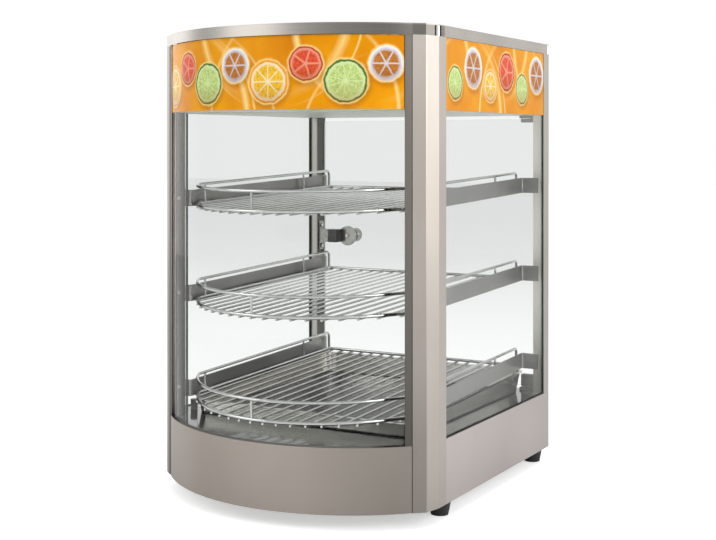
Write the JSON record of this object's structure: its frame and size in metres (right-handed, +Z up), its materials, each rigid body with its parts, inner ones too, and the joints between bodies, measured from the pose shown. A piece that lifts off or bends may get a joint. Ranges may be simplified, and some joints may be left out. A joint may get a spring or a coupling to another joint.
{
  "type": "heated display case",
  "caption": "Countertop heated display case with a curved glass front, wire racks on sloping rails, a water pan, a rear glass door, a lit header and rotary and rocker controls.",
  "frame": {"origin": "on the counter under the feet, at the middle of the case's outline in plan, with the knob of the door counted in", "axes": "+X to the case's right as seen from the front, +Y to the back, +Z up; the curved glass faces -Y"},
  "size_m": [0.4, 0.5039, 0.605],
  "materials": {
    "stainless": "brushed satin",
    "cover_steel": "brushed satin",
    "column_steel": "satin beige-grey",
    "inner_steel": "satin",
    "deck_steel": "soft mirror",
    "rail_steel": "satin",
    "rack_chrome": "bright plated wire",
    "pan_steel": "satin",
    "bright_trim": "bright",
    "screw_steel": "bright",
    "clear_glass": "clear, polished",
    "gasket_rubber": "black, matt",
    "foot_rubber": "black, matt",
    "banner_print": "printed film, orange",
    "ceiling_paint": "pale, satin",
    "clip_metal": "bright",
    "knob_metal": "bright",
    "magnet_black": "black",
    "bracket_metal": "satin",
    "lamp_white": "white tube",
    "holder_white": "white",
    "diffuser_milk": "milky",
    "element_metal": "dark oxide",
    "black_plastic": "black",
    "dial_plastic": "black",
    "rocker_power": "red",
    "rocker_light": "green",
    "pilot_lens": "amber",
    "gland_black": "black",
    "terminal_white": "white",
    "stop_plastic": "brown"
  },
  "bodies": {
    "case": {"base_back_panel": "stainless", "base_front_skirt": "stainless", "base_side_panel_left": "stainless", "base_side_panel_right": "stainless", "bottom_plate": "inner_steel", "case_screws": "screw_steel", "catch_bracket": "bracket_metal", "catch_magnet": "magnet_black", "ceiling": "ceiling_paint", "cord_gland": "gland_black", "cover_corner_trims": "bright_trim", "deck": "deck_steel", "deck_stops": "stop_plastic", "door_pivot_plates": "bracket_metal", "element_clips": "bracket_metal", "feet": "foot_rubber", "foot_screws": "screw_steel", "front_banner": "banner_print", "front_column_left": "column_steel", "front_column_right": "column_steel", "front_glass": "clear_glass", "front_glass_gasket": "gasket_rubber", "header_back_panel": "stainless", "heating_element": "element_metal", "lamp_diffuser": "diffuser_milk", "lamp_holders": "holder_white", "lamp_tube": "lamp_white", "pilot_lamp": "pilot_lens", "rail_left_bottom": "rail_steel", "rail_left_middle": "rail_steel", "rail_left_top": "rail_steel", "rail_right_bottom": "rail_steel", "rail_right_middle": "rail_steel", "rail_right_top": "rail_steel", "rear_post_left": "column_steel", "rear_post_right": "column_steel", "side_banner_left": "banner_print", "side_banner_right": "banner_print", "side_glass_gaskets": "gasket_rubber", "side_glass_left": "clear_glass", "side_glass_right": "clear_glass", "switch_housings": "black_plastic", "terminal_block": "terminal_white", "thermostat_body": "holder_white", "top_cover": "cover_steel"},
    "door": {"door_glass": "clear_glass", "door_hinge_clips": "clip_metal", "door_knob": "knob_metal", "door_strike_disc": "bright_trim", "door_disc_screw": "screw_steel"},
    "rack_bottom": {"rack_tray_bottom": "rack_chrome", "rack_guard_bottom": "rack_chrome"},
    "rack_middle": {"rack_tray_middle": "rack_chrome", "rack_guard_middle": "rack_chrome"},
    "rack_top": {"rack_tray_top": "rack_chrome", "rack_guard_top": "rack_chrome"},
    "pan": {"water_pan": "pan_steel"},
    "dial": {"thermostat_dial": "dial_plastic"},
    "power_rocker": {"power_switch_rocker": "rocker_power"},
    "light_rocker": {"light_switch_rocker": "rocker_light"}
  },
  "joints": [
    {"name": "door_swing", "type": "hinge", "parent": "case", "child": "door", "pos_m": [0.172, 0.2255, 0.3], "axis": [0, 0, -1], "range_deg": [0, 115]},
    {"name": "rack_bottom_slide", "type": "slide", "parent": "case", "child": "rack_bottom", "axis": [0, 0.9994, 0.0349], "range_m": [0, 0.016]},
    {"name": "rack_middle_slide", "type": "slide", "parent": "case", "child": "rack_middle", "axis": [0, 0.9994, 0.0349], "range_m": [0, 0.016]},
    {"name": "rack_top_slide", "type": "slide", "parent": "case", "child": "rack_top", "axis": [0, 0.9994, 0.0349], "range_m": [0, 0.016]},
    {"name": "pan_slide", "type": "slide", "parent": "case", "child": "pan", "axis": [0, 1, 0], "range_m": [0, 0.006]},
    {"name": "thermostat_turn", "type": "hinge", "parent": "case", "child": "dial", "pos_m": [0.095, 0.228, 0.062], "axis": [0, 1, 0], "range_deg": [0, 270]},
    {"name": "power_switch_rock", "type": "hinge", "parent": "case", "child": "power_rocker", "pos_m": [0.02, 0.229, 0.062], "axis": [-1, 0, 0], "range_deg": [0, 20]},
    {"name": "light_switch_rock", "type": "hinge", "parent": "case", "child": "light_rocker", "pos_m": [-0.03, 0.229, 0.062], "axis": [-1, 0, 0], "range_deg": [0, 20]}
  ]
}
